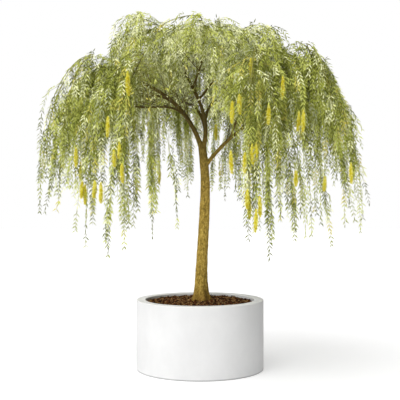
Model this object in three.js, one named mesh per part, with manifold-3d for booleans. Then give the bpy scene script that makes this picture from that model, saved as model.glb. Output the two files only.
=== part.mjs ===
// A weeping willow grown in a round planter. Millimetres, +Z up.
// The origin is the centre of the planter's flat underside, and the side first seen faces -Y.
// Angles are in degrees: an azimuth turns from +X towards +Y, a lean is measured from upright.
import * as THREE from 'three';
import { mergeVertices } from 'three/addons/utils/BufferGeometryUtils.js';
import Module from 'manifold-3d';

const wasm = await Module();
wasm.setup();

// Planter and soil
const POT_DIAMETER = 1000;
const POT_HEIGHT = 544;
const POT_WALL = 73;
const POT_FLOOR = 60;
const POT_EDGE = 5;
const POT_SIDES = 40;
const SOIL_EDGE_HEIGHT = 516;
const SOIL_TOP_HEIGHT = 530;
const SOIL_FLAT_RADIUS = 130;

// The gap kept between two solids that touch on the real plant
const GAP = 0.3;

// Trunk: centres of its rings as [x, y, height], then its girth
const TRUNK_LINE = [
  [7, 0, SOIL_TOP_HEIGHT + GAP],
  [9, 2, 680],
  [14, 6, 830],
  [27, 10, 1060],
  [39, 8, 1310],
  [41, 4, 1480],
  [29, 0, 1640],
  [17, 0, 1745],
];
const TRUNK_FOOT_RADIUS = 54;
const TRUNK_TOP_RADIUS = 31;
const TRUNK_SIDES = 15;
const TRUNK_STEPS = 14;
const TRUNK_CROWDING = 1.7;
const TRUNK_TAPER = 0.78;
const ROOT_LOBES = 5;
const ROOT_SPREAD = 42;
const ROOT_FADE = 65;
const ROOT_EVENNESS = 0.62;

// Boughs: each leaves its parent at a share of the parent's length, leaning by the angle it
// leaves at, and arrives at its tip, [azimuth, reach, height], leaning by another
const BOUGH_SIDES = 6;
const BOUGH_STEPS = 8;
const BOUGH_BEND = 0.42;
const BOUGHS = [
  { name: 'bough_left', parent: 'trunk', at: 0.965, radii: [20, 9],
    tip: [-157, 827, 2330], leave: 18, arrive: 75 },
  { name: 'bough_centre', parent: 'trunk', at: 0.97, radii: [18, 9],
    tip: [168, 190, 2533], leave: -15, arrive: 15 },
  { name: 'bough_right', parent: 'trunk', at: 0.865, radii: [16, 9],
    tip: [-20, 827, 2180], leave: 38, arrive: 55 },
  { name: 'bough_left_low', parent: 'bough_left', at: 0.2, radii: [10, 7],
    tip: [-125, 827, 1990], leave: 50, arrive: 88 },
  { name: 'bough_left_back', parent: 'bough_left', at: 0.42, radii: [10, 7],
    tip: [160, 827, 2140], leave: 62, arrive: 84 },
  { name: 'bough_back_left', parent: 'bough_centre', at: 0.18, radii: [12, 8],
    tip: [112, 827, 2260], leave: 25, arrive: 62 },
  { name: 'bough_back_right', parent: 'bough_centre', at: 0.28, radii: [11, 8],
    tip: [67, 827, 2250], leave: 32, arrive: 62 },
  { name: 'bough_right_front', parent: 'bough_right', at: 0.32, radii: [10, 7],
    tip: [-62, 827, 2080], leave: 46, arrive: 66 },
  { name: 'bough_right_back', parent: 'bough_right', at: 0.45, radii: [10, 7],
    tip: [22, 827, 2240], leave: 36, arrive: 60 },
  { name: 'bough_top_right', parent: 'bough_centre', at: 0.48, radii: [9, 7],
    tip: [-8, 210, 2540], leave: 42, arrive: 12 },
  { name: 'bough_top_front', parent: 'bough_centre', at: 0.6, radii: [9, 7],
    tip: [-84, 240, 2470], leave: 52, arrive: 18 },
  { name: 'bough_top_back', parent: 'bough_centre', at: 0.54, radii: [9, 7],
    tip: [96, 250, 2540], leave: 50, arrive: 16 },
];

// Masses of foliage: an upper tier over the middle and a lower tier of sectors round it.
// Each keeps between two azimuths. Its stem rises to a crest [reach, height], its ribs fall
// from there to the reach of its edge, with a square shoulder (high power) or a sloping one (low
// power), and its strands end between the two tip heights.
const TIER_REACH = 815;
const CROWN_REACH = 1375;
const UPPER = { inner: 12, outer: TIER_REACH - 4, ribs: 4, crestReach: 510, stagger: 0.2 };
const LOWER = { inner: TIER_REACH + 4, outer: CROWN_REACH, ribs: 3, crestReach: 860, stagger: 0.1 };
const MASSES = [
  { name: 'foliage_top_left', tier: UPPER, bough: 'bough_centre',
    from: 135, to: 225, crest: 2770, edge: 795, shoulder: 2.5, tips: [1850, 2100] },
  { name: 'foliage_top_right', tier: UPPER, bough: 'bough_top_right',
    from: -45, to: 45, crest: 2650, edge: 780, shoulder: 1.7, tips: [1850, 2100] },
  { name: 'foliage_top_front', tier: UPPER, bough: 'bough_top_front',
    from: -135, to: -45, crest: 2670, edge: 780, shoulder: 2.0, tips: [2120, 2300] },
  { name: 'foliage_top_back', tier: UPPER, bough: 'bough_top_back',
    from: 45, to: 135, crest: 2785, edge: 780, shoulder: 2.2, tips: [1850, 2100] },
  { name: 'foliage_left_front', tier: LOWER, bough: 'bough_left',
    from: -180, to: -137, crest: 2420, edge: 1268, shoulder: 2.0, tips: [1120, 1420] },
  { name: 'foliage_front_left', tier: LOWER, bough: 'bough_left_low',
    from: -137, to: -97, crest: 2340, edge: 1170, shoulder: 2.2, tips: [970, 1330] },
  { name: 'foliage_front_right', tier: LOWER, bough: 'bough_right_front',
    from: -83, to: -43, crest: 2390, edge: 1170, shoulder: 2.0, tips: [990, 1330] },
  { name: 'foliage_right_front', tier: LOWER, bough: 'bough_right',
    from: -43, to: 0, crest: 2560, edge: 1340, shoulder: 1.7, tips: [1010, 1340] },
  { name: 'foliage_right_back', tier: LOWER, bough: 'bough_right_back',
    from: 0, to: 45, crest: 2640, edge: 1340, shoulder: 1.6, tips: [1200, 1450] },
  { name: 'foliage_back_right', tier: LOWER, bough: 'bough_back_right',
    from: 45, to: 90, crest: 2620, edge: 1240, shoulder: 2.2, tips: [1380, 1580] },
  { name: 'foliage_back_left', tier: LOWER, bough: 'bough_back_left',
    from: 90, to: 135, crest: 2600, edge: 1240, shoulder: 2.2, tips: [1380, 1580] },
  { name: 'foliage_left_back', tier: LOWER, bough: 'bough_left_back',
    from: 135, to: 180, crest: 2510, edge: 1290, shoulder: 2.1, tips: [1250, 1480] },
];

// Twigs of a mass: radius at the start and at the tip
const TWIG_SIDES = 3;
const STEM_RADII = [9, 8];
const RIB_RADII = [7, 3.5];
const STRAND_RADII = [5, 3];
const STEM_STEPS = 3;
const STEM_BEND = 0.5;
const RIB_STEPS = 6;
const STRAND_STEPS = 3;
const RIB_MARGIN = 0.28;
const RIB_SHORTEST = 0.93;
const STRAND_STARTS = [0.25, 0.62];
const STRAND_DRIFT = [36, 126];
const STRAND_SPREAD = [48, 120];
const HANG_POWER = 2.5;

// Room kept to limbs, and how closely it is tested
const LIMB_CLEARANCE = 6;
const LIMB_SAMPLE_STEP = 6;
const TWIG_TESTS = 24;

// Leaves, each a thin blade that stands for a spray: outline as [half width, share of length]
const LEAF_LENGTH = 180;
const LEAF_WIDTH = 52;
const LEAF_THICKNESS = 10;
const LEAF_SIDES = 3;
const LEAF_OUTLINE = [[0, 0], [0.5, 0.22], [0, 1]];
const LEAF_TESTS = [0.3, 0.6, 0.9];
const LEAF_SPACING = 225;
const LEAF_ANGLE = 36;
const LEAF_TWIST = 1.8;
const LEAF_ROOM = 26;
const FIRST_LEAF = 60;
const LAST_LEAF = 10;

// Catkins hang in yellow bunches. Each place is the top of one, as [x, y, height].
const CATKIN_LENGTH = 165;
const CATKIN_WIDTH = 34;
const CATKIN_SINK = 25;
const CATKIN_SIDES = 4;
const CATKIN_DRIFT = 0.12;
const CARRIER_STARTS = [0.03, 0.92];
const CARRIER_DROP = 50;
const CATKIN_OUTLINE = [[0, 0], [0.42, 0.12], [0.5, 0.55], [0, 1]];
const CATKINS = [
  [349, -845, 2305],
  [564, -901, 2169],
  [-508, -939, 2157],
  [236, -1088, 1983],
  [459, -1018, 1965],
  [704, -873, 1941],
  [131, 300, 1950],
  [-622, -942, 1893],
  [-555, -1011, 1685],
  [-872, -720, 1697],
  [-519, -1038, 1571],
  [201, -1138, 1651],
  [361, -1095, 1680],
  [306, -1127, 1358],
  [645, -967, 1527],
  [1040, -829, 1587],
  [877, -720, 1494],
  [-797, -851, 1435],
  [-713, -922, 1461],
  [-174, 800, 1910],
  [700, 600, 1900],
  [500, 900, 1700],
  [-600, 700, 2000],
  [-350, 1000, 1650],
];

// The seed of the first mass, and the step from one to the next
const FIRST_SEED = 35;
const SEED_STEP = 37;

// Colour and roughness of each material
const POT_FINISH = { color: 0xf1f1ef, roughness: 0.6 };
const SOIL_FINISH = { color: 0x4b3422, roughness: 0.95 };
const BARK_FINISH = { color: 0x8f7a45, roughness: 0.85 };
const LEAF_FINISH = { color: 0x93a251, roughness: 0.7 };

// Corners of one body closer together than this are one corner
const MERGE_DISTANCE = 1e-4;

// Constants of the Lehmer generator, and the spread given to small seeds
const LEHMER_MODULUS = 2147483647;
const LEHMER_MULTIPLIER = 48271;
const SEED_SPREAD = 1000003;

const UP = new THREE.Vector3(0, 0, 1);
const { degToRad, lerp } = THREE.MathUtils;

// Where a reach and a height along an azimuth lie
function place(azimuth, reach, height) {
  const angle = degToRad(azimuth);
  return new THREE.Vector3(reach * Math.cos(angle), reach * Math.sin(angle), height);
}

// A level unit direction turned down or up by its lean from upright
function heading(azimuth, lean) {
  const angle = degToRad(lean);
  return place(azimuth, Math.sin(angle), Math.cos(angle));
}

// The plain Lehmer generator, from 0 to 1, the same each time for one seed
function lehmer(seed) {
  let state = (seed * SEED_SPREAD) % LEHMER_MODULUS;
  return () => {
    state = (state * LEHMER_MULTIPLIER) % LEHMER_MODULUS;
    return state / LEHMER_MODULUS;
  };
}

// A closed three.js geometry as a solid that can be joined and cut
function solid(geometry) {
  geometry.deleteAttribute('normal');
  geometry.deleteAttribute('uv');
  const merged = mergeVertices(geometry, MERGE_DISTANCE);
  const corners = merged.index.array;
  const triangles = [];
  for (let i = 0; i < corners.length; i += 3) {
    const [a, b, c] = corners.slice(i, i + 3);
    if (a !== b && b !== c && c !== a) triangles.push(a, b, c);
  }
  return new wasm.Manifold(new wasm.Mesh({
    numProp: 3,
    vertProperties: merged.attributes.position.array,
    triVerts: new Uint32Array(triangles),
  }));
}

// The largest body of a solid, without the loose scraps and sealed hollows that joining left
function wholeBody(joined) {
  const bodies = joined.decompose();
  return bodies.reduce((best, body) => (body.volume() > best.volume() ? body : best));
}

function geometryOf(body) {
  const mesh = body.getMesh();
  const geometry = new THREE.BufferGeometry();
  geometry.setAttribute('position', new THREE.BufferAttribute(mesh.vertProperties, 3));
  geometry.setIndex(new THREE.BufferAttribute(mesh.triVerts, 1));
  return geometry;
}

// A tapering tube along a curve: a cylinder whose rings are carried along it
function tube(curve, [startRadius, endRadius], sides, steps) {
  const geometry = new THREE.CylinderGeometry(1, 1, 1, sides, steps);
  const frames = curve.computeFrenetFrames(steps);
  const position = geometry.attributes.position;
  for (let i = 0; i < position.count; i++) {
    const share = position.getY(i) + 0.5;
    const ring = Math.round(share * steps);
    const radius = lerp(startRadius, endRadius, share);
    const point = curve.getPointAt(share);
    point.addScaledVector(frames.binormals[ring], position.getX(i) * radius);
    point.addScaledVector(frames.normals[ring], position.getZ(i) * radius);
    position.setXYZ(i, point.x, point.y, point.z);
  }
  return geometry;
}

// A quarter of an ellipse with a fuller or a sloping shoulder, from a level start to an upright
// end, as a hanging twig falls
class Fall extends THREE.Curve {
  constructor(start, end, shoulder = HANG_POWER) {
    super();
    this.start = start;
    this.end = end;
    this.shoulder = shoulder;
  }

  getPoint(share, target = new THREE.Vector3()) {
    const angle = share * Math.PI / 2;
    target.lerpVectors(this.start, this.end, Math.pow(Math.sin(angle), 2 / this.shoulder));
    target.z = lerp(this.end.z, this.start.z, Math.pow(Math.cos(angle), 2 / this.shoulder));
    return target;
  }

  // The point over a share of the level run from start to end
  atRun(run) {
    return this.getPoint(Math.asin(Math.pow(run, this.shoulder / 2)) / (Math.PI / 2));
  }
}

// A profile of [radius, height] pairs turned about the upright axis
function turned(profile, sides) {
  const points = profile.map(([radius, height]) => new THREE.Vector2(radius, height));
  return new THREE.LatheGeometry(points, sides).rotateX(Math.PI / 2);
}

function potGeometry() {
  const outer = POT_DIAMETER / 2;
  const inner = outer - POT_WALL;
  return turned([
    [0, 0],
    [outer - POT_EDGE, 0],
    [outer, POT_EDGE],
    [outer, POT_HEIGHT - POT_EDGE],
    [outer - POT_EDGE, POT_HEIGHT],
    [inner + POT_EDGE, POT_HEIGHT],
    [inner, POT_HEIGHT - POT_EDGE],
    [inner, POT_FLOOR],
    [0, POT_FLOOR],
  ], POT_SIDES);
}

function soilGeometry() {
  const edge = POT_DIAMETER / 2 - POT_WALL - GAP;
  return turned([
    [0, POT_FLOOR + GAP],
    [edge, POT_FLOOR + GAP],
    [edge, SOIL_EDGE_HEIGHT],
    [SOIL_FLAT_RADIUS, SOIL_TOP_HEIGHT],
    [0, SOIL_TOP_HEIGHT],
  ], POT_SIDES);
}

// The trunk's radius at a height, with lobes where the roots run out at its foot
function trunkRadius(share, rise, turn) {
  const shaft = lerp(TRUNK_FOOT_RADIUS, TRUNK_TOP_RADIUS, Math.pow(share, TRUNK_TAPER));
  const lobe = lerp(Math.cos(ROOT_LOBES * turn), 1, ROOT_EVENNESS);
  return shaft + ROOT_SPREAD * lobe * Math.exp(-rise / ROOT_FADE);
}

// Level rings stacked along the trunk line, closer together at the foot; grown by a clearance
function trunkGeometry(clearance) {
  const line = new THREE.CatmullRomCurve3(TRUNK_LINE.map((point) => new THREE.Vector3(...point)));
  const geometry = new THREE.CylinderGeometry(1, 1, 1, TRUNK_SIDES, TRUNK_STEPS);
  const position = geometry.attributes.position;
  for (let i = 0; i < position.count; i++) {
    const share = Math.pow(position.getY(i) + 0.5, TRUNK_CROWDING);
    const centre = line.getPoint(share);
    const across = position.getX(i);
    const along = position.getZ(i);
    const rise = centre.z - TRUNK_LINE[0][2];
    const radius = trunkRadius(share, rise, Math.atan2(across, along)) + clearance;
    const lift = share === 1 ? clearance : 0;
    position.setXYZ(i, centre.x + along * radius, centre.y + across * radius, centre.z + lift);
  }
  return { geometry, line };
}

// The line of a bough, from inside its parent to its tip
function boughLine({ parent, at, tip, leave, arrive }, limbs) {
  const start = limbs.get(parent).line.getPointAt(at);
  const end = place(...tip);
  const out = THREE.MathUtils.radToDeg(Math.atan2(end.y - start.y, end.x - start.x));
  const reach = BOUGH_BEND * start.distanceTo(end);
  const first = start.clone().addScaledVector(heading(out, leave), reach);
  const second = end.clone().addScaledVector(heading(out, arrive), -reach);
  return new THREE.CubicBezierCurve3(start, first, second, end);
}

// All limbs by name: body, centre line and radii. Each is cut clear of those before it.
function growLimbs() {
  const trunk = trunkGeometry(0);
  const limbs = new Map();
  limbs.set('trunk', {
    body: solid(trunk.geometry),
    grown: solid(trunkGeometry(GAP).geometry),
    line: trunk.line,
    radii: [TRUNK_FOOT_RADIUS, TRUNK_TOP_RADIUS],
  });
  for (const bough of BOUGHS) {
    const line = boughLine(bough, limbs);
    const [startRadius, endRadius] = bough.radii;
    let body = solid(tube(line, bough.radii, BOUGH_SIDES, BOUGH_STEPS));
    for (const other of limbs.values()) body = body.subtract(other.grown);
    const wider = [startRadius + GAP, endRadius + GAP];
    limbs.set(bough.name, {
      body: wholeBody(body),
      grown: solid(tube(line, wider, BOUGH_SIDES, BOUGH_STEPS)),
      line,
      radii: bough.radii,
    });
  }
  return limbs;
}

// Points along each limb, close enough together to test the distance to it
function sampleLimbs(limbs) {
  for (const limb of limbs.values()) {
    const count = Math.ceil(limb.line.getLength() / LIMB_SAMPLE_STEP);
    limb.samples = limb.line.getSpacedPoints(count).map((centre, i) => ({
      centre,
      radius: lerp(limb.radii[0], limb.radii[1], i / count),
    }));
  }
}

// Whether a point with some thickness stays inside a mass's space and clear of every limb
function isFree(mass, limbs, point, thickness) {
  const reach = Math.hypot(point.x, point.y);
  if (reach < mass.tier.inner + thickness || reach > mass.tier.outer - thickness) return false;
  const start = place(mass.from, 1, 0);
  const end = place(mass.to, 1, 0);
  const pastStart = start.x * point.y - start.y * point.x;
  const beforeEnd = end.y * point.x - end.x * point.y;
  if (Math.min(pastStart, beforeEnd) < thickness + GAP) return false;
  for (const { samples } of limbs.values()) {
    for (const { centre, radius } of samples) {
      if (centre.distanceTo(point) < radius + thickness + LIMB_CLEARANCE) return false;
    }
  }
  return true;
}

// The stem of a mass, which goes on from its bough's tip and bends over to the crest
function growStem(mass, limbs) {
  const { line } = limbs.get(mass.bough);
  const forward = line.getTangentAt(1);
  const start = line.getPointAt(1).addScaledVector(forward, GAP);
  const crest = place((mass.from + mass.to) / 2, mass.tier.crestReach, mass.crest);
  const bend = start.clone().addScaledVector(forward, STEM_BEND * start.distanceTo(crest));
  return new THREE.QuadraticBezierCurve3(start, bend, crest);
}

// The ribs of a mass: they leave the stem one after another and fan out to the crown's edge
function growRibs(mass, stem, random) {
  const ribs = [];
  for (let i = 0; i < mass.tier.ribs; i++) {
    const turn = (i + RIB_MARGIN + (1 - 2 * RIB_MARGIN) * random()) / mass.tier.ribs;
    const reach = mass.edge * (RIB_SHORTEST + (1 - RIB_SHORTEST) * random());
    const tip = lerp(...mass.tips, random());
    const start = stem.getPoint(1 - mass.tier.stagger * i);
    const end = place(lerp(mass.from, mass.to, turn), reach, tip);
    ribs.push(new Fall(start, end, mass.shoulder));
  }
  return ribs;
}

// The strands that hang from one rib, a little further out and to alternate sides
function growStrands(mass, rib, random) {
  const out = rib.end.clone().sub(rib.start).setZ(0).normalize();
  const aside = new THREE.Vector3(-out.y, out.x, 0);
  return STRAND_STARTS.map((along, i) => {
    const start = rib.atRun(along);
    const end = start.clone().addScaledVector(out, lerp(...STRAND_DRIFT, random()));
    const hand = i % 2 ? 1 : -1;
    end.addScaledVector(aside, hand * lerp(...STRAND_SPREAD, random()));
    end.z = lerp(...mass.tips, random());
    return new Fall(start, end);
  });
}

// The twig that carries a catkin, from the nearest rib of its mass down to it
function growCatkinTwig(ribs, spot) {
  let best = null;
  for (const rib of ribs) {
    const run = rib.end.clone().sub(rib.start).setZ(0);
    const along = spot.clone().sub(rib.start).dot(run) / run.lengthSq();
    const start = rib.atRun(THREE.MathUtils.clamp(along - CATKIN_DRIFT, ...CARRIER_STARTS));
    const aside = Math.hypot(start.x - spot.x, start.y - spot.y);
    if (start.z > spot.z + CARRIER_DROP && (!best || aside < best.aside)) best = { start, aside };
  }
  return best && new Fall(best.start, spot);
}

// A closed blade or bead about +Y, from 0 to 1 long, with a given outline and number of sides
function spindle(outline, sides, width, length, thickness) {
  const points = outline.map(([radius, height]) => new THREE.Vector2(radius, height));
  return new THREE.LatheGeometry(points, sides).scale(width, length, thickness);
}

// One leaf from a point on a twig, or nothing where it would leave its space or meet another
function growLeaf(mass, limbs, spots, owner, root, direction, facing) {
  const side = new THREE.Vector3().crossVectors(direction, facing).normalize();
  const corners = LEAF_TESTS.map((share) => (
    root.clone().addScaledVector(direction, share * LEAF_LENGTH)
  ));
  const isOpen = corners.every((corner) => isFree(mass, limbs, corner, LEAF_WIDTH / 2)
    && !spots.some((spot) => spot.owner !== owner && spot.point.distanceTo(corner) < LEAF_ROOM));
  if (!isOpen) return [];
  for (const point of corners) spots.push({ owner: null, point });
  const blade = spindle(LEAF_OUTLINE, LEAF_SIDES, LEAF_WIDTH, LEAF_LENGTH, LEAF_THICKNESS);
  const basis = new THREE.Matrix4().makeBasis(side, direction, side.clone().cross(direction));
  return [solid(blade.applyMatrix4(basis.setPosition(root)))];
}

// Leaves set in turn to either side along a twig, pointing down it
function growLeaves(mass, limbs, spots, twig, random) {
  const leaves = [];
  const length = twig.getLength();
  let hand = random() < 0.5 ? 1 : -1;
  for (let at = FIRST_LEAF; at < length - LAST_LEAF; at += LEAF_SPACING) {
    const along = twig.getTangentAt(at / length);
    const level = new THREE.Vector3().crossVectors(along, UP).normalize();
    level.applyAxisAngle(along, (random() - 0.5) * LEAF_TWIST);
    const direction = along.clone().multiplyScalar(Math.cos(degToRad(LEAF_ANGLE)));
    direction.addScaledVector(level, hand * Math.sin(degToRad(LEAF_ANGLE)));
    leaves.push(...growLeaf(mass, limbs, spots, twig, twig.getPointAt(at / length), direction, along));
    hand = -hand;
  }
  return leaves;
}

// One catkin hanging at the end of its twig, which runs a little way into it
function catkin(twig) {
  const bead = spindle(CATKIN_OUTLINE, CATKIN_SIDES, CATKIN_WIDTH, CATKIN_LENGTH, CATKIN_WIDTH);
  bead.rotateX(-Math.PI / 2);
  return solid(bead.translate(twig.end.x, twig.end.y, twig.end.z + CATKIN_SINK));
}

// The twigs of a mass that keep to its space: ribs, strands and those that carry catkins
function growTwigs(mass, limbs, stem, random) {
  const isOpen = (twig) => twig && twig.getSpacedPoints(TWIG_TESTS)
    .every((point) => isFree(mass, limbs, point, STRAND_RADII[0]));
  const ribs = growRibs(mass, stem, random).filter(isOpen);
  const strands = ribs.flatMap((rib) => growStrands(mass, rib, random)).filter(isOpen);
  const spots = CATKINS.map((spot) => new THREE.Vector3(...spot));
  const carriers = spots.filter((spot) => isFree(mass, limbs, spot, CATKIN_WIDTH))
    .map((spot) => growCatkinTwig(ribs, spot)).filter(isOpen);
  return { ribs, strands, carriers };
}

// One mass, joined from its stem, its twigs and the leaves and catkins on them
function growMass(mass, limbs, seed) {
  const random = lehmer(seed);
  const stem = growStem(mass, limbs);
  const { ribs, strands, carriers } = growTwigs(mass, limbs, stem, random);
  const parts = [solid(tube(stem, STEM_RADII, TWIG_SIDES, STEM_STEPS))];
  for (const rib of ribs) parts.push(solid(tube(rib, RIB_RADII, TWIG_SIDES, RIB_STEPS)));
  for (const twig of [...strands, ...carriers]) {
    parts.push(solid(tube(twig, STRAND_RADII, TWIG_SIDES, STRAND_STEPS)));
  }
  for (const twig of carriers) parts.push(catkin(twig));
  const twigs = [...ribs, ...strands, ...carriers];
  const spots = twigs.flatMap((twig) => {
    const count = Math.ceil(twig.getLength() / LEAF_ROOM);
    return twig.getSpacedPoints(count).map((point) => ({ owner: twig, point }));
  });
  for (const twig of twigs) parts.push(...growLeaves(mass, limbs, spots, twig, random));
  return wholeBody(wasm.Manifold.union(parts));
}

function named(name, geometry, finish) {
  const material = new THREE.MeshStandardMaterial({ ...finish, metalness: 0 });
  const mesh = new THREE.Mesh(geometry, material);
  mesh.name = name;
  return mesh;
}

const willow = new THREE.Group();
const limbs = growLimbs();
sampleLimbs(limbs);
willow.add(named('pot', potGeometry(), POT_FINISH));
willow.add(named('soil', soilGeometry(), SOIL_FINISH));
for (const [name, limb] of limbs) willow.add(named(name, geometryOf(limb.body), BARK_FINISH));
MASSES.forEach((mass, index) => {
  const body = growMass(mass, limbs, FIRST_SEED + SEED_STEP * index);
  willow.add(named(mass.name, geometryOf(body), LEAF_FINISH));
});

export default willow;
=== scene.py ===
# A weeping willow in a round planter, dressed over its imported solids. Metres, +Z up.
# The side that is first seen faces -Y. Angles are in degrees: an azimuth turns from +X towards
# +Y, and a lean is measured from upright.
import math

import bmesh
import bpy
import numpy as np
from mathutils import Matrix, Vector, kdtree, noise


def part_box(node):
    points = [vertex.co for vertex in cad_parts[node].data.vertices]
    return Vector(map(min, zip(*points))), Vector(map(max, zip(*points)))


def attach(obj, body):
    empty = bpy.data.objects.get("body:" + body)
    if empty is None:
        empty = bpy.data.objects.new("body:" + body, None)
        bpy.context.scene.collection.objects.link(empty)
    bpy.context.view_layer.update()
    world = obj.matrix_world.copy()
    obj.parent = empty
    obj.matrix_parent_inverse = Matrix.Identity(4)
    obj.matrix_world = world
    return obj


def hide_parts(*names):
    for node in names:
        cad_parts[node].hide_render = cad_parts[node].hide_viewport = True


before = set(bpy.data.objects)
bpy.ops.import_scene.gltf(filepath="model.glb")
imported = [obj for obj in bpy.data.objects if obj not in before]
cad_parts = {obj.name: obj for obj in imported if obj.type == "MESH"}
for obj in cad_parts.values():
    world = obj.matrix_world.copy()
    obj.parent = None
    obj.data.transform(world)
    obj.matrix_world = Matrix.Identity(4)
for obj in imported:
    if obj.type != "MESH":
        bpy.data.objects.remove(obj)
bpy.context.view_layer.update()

# The planter and its soil, read from the frame
pot_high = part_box("pot")[1]
soil_low, soil_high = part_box("soil")
POT_RADIUS = pot_high.y
POT_HEIGHT = pot_high.z
POT_EDGE = 0.006
POT_FOLD = 3
POT_TURNS = 160
SOIL_RADIUS = soil_high.y
SOIL_TOP = soil_high.z
SOIL_EDGE_DROP = 0.014
SOIL_FLAT_RADIUS = 0.13
SOIL_FLOOR = soil_low.z
SOIL_ROUGHNESS = 0.005
SOIL_SIDES = 96
SOIL_RINGS = 18
SOIL_GRAIN = 24
SOIL_NOISE = (0.8, 2.0, 3)

# Trunk: centres of its rings, then its girth and the lobes where the roots run out
GAP = 0.0003
TRUNK_LINE = [
    (0.007, 0.000, SOIL_TOP + GAP),
    (0.009, 0.002, 0.680),
    (0.014, 0.006, 0.830),
    (0.027, 0.010, 1.060),
    (0.039, 0.008, 1.310),
    (0.041, 0.004, 1.480),
    (0.029, 0.000, 1.640),
    (0.017, 0.000, 1.745),
]
TRUNK_LINE_STEPS = 30
TRUNK_FOOT_RADIUS = 0.054
TRUNK_TOP_RADIUS = 0.031
TRUNK_TAPER = 0.78
TRUNK_SIDES = 48
TRUNK_STEPS = 90
ROOT_LOBES = 5
ROOT_SPREAD = 0.042
ROOT_FADE = 0.065
ROOT_EVENNESS = 0.62

# Boughs: parent, share of its length, radii, tip (azimuth, reach, height), and the leans at
# which the bough leaves its parent and arrives at its tip
BOUGH_BEND = 0.42
BOUGH_POINTS = 200
BOUGH_SIDES = 20
BOUGH_STEPS = 60
BOUGHS = {
    "bough_left": ("trunk", 0.965, (0.020, 0.009), (-157, 0.827, 2.330), 18, 75),
    "bough_centre": ("trunk", 0.97, (0.018, 0.009), (168, 0.190, 2.533), -15, 15),
    "bough_right": ("trunk", 0.865, (0.016, 0.009), (-20, 0.827, 2.180), 38, 55),
    "bough_left_low": ("bough_left", 0.2, (0.010, 0.007), (-125, 0.827, 1.990), 50, 88),
    "bough_left_back": ("bough_left", 0.42, (0.010, 0.007), (160, 0.827, 2.140), 62, 84),
    "bough_back_left": ("bough_centre", 0.18, (0.012, 0.008), (112, 0.827, 2.260), 25, 62),
    "bough_back_right": ("bough_centre", 0.28, (0.011, 0.008), (67, 0.827, 2.250), 32, 62),
    "bough_right_front": ("bough_right", 0.32, (0.010, 0.007), (-62, 0.827, 2.080), 46, 66),
    "bough_right_back": ("bough_right", 0.45, (0.010, 0.007), (22, 0.827, 2.240), 36, 60),
    "bough_top_right": ("bough_centre", 0.48, (0.009, 0.007), (-8, 0.210, 2.540), 42, 12),
    "bough_top_front": ("bough_centre", 0.6, (0.009, 0.007), (-84, 0.240, 2.470), 52, 18),
    "bough_top_back": ("bough_centre", 0.54, (0.009, 0.007), (96, 0.250, 2.540), 50, 16),
}

# The collar where a bough leaves its parent, and the relief of the bark
COLLAR_SHARE = 0.35
COLLAR_FADE = 0.035
BARK_VOXEL = 0.004
BARK_SMOOTHINGS = 2
RELIEF_TRUNK = 0.0022
RELIEF_BOUGH = 0.0009
RELIEF_GRAIN = (60.0, 60.0, 16.0)
RELIEF_NOISE = (0.9, 2.1, 4)
RELIEF_HEIGHTS = (1.5, 2.0)

# Twigs and leaves keep off the limbs, and a twig is tested at these shares of its length
LIMB_CLEARANCE = 0.004
LIMB_SAMPLE_STEP = 0.006
LIMB_TESTS = np.linspace(0.3, 1, 9)

# Bark chips on the soil: how many, their length, width and thickness, how uneven their corners
# are, how they lie, and the round place left free for the roots
CHIP_COUNT = 5500
CHIP_LENGTHS = (0.012, 0.030)
CHIP_WIDTHS = (0.007, 0.015)
CHIP_THICKNESSES = (0.004, 0.009)
CHIP_UNEVEN = (0.6, 1.15)
CHIP_TILT = 0.45
CHIP_ROLL = 0.25
CHIP_LIFT = 0.010
CHIP_FREE_RADIUS = TRUNK_FOOT_RADIUS + ROOT_SPREAD * 0.6
CHIP_FACES = np.array([
    [0, 2, 1], [0, 3, 2], [4, 5, 6], [4, 6, 7], [0, 1, 5], [0, 5, 4],
    [1, 2, 6], [1, 6, 5], [2, 3, 7], [2, 7, 6], [3, 0, 4], [3, 4, 7],
])
CHIP_CORNERS = np.array([
    (-1, -1, -1), (1, -1, -1), (1, 1, -1), (-1, 1, -1),
    (-1, -1, 1), (1, -1, 1), (1, 1, 1), (-1, 1, 1),
]) / 2

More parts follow.
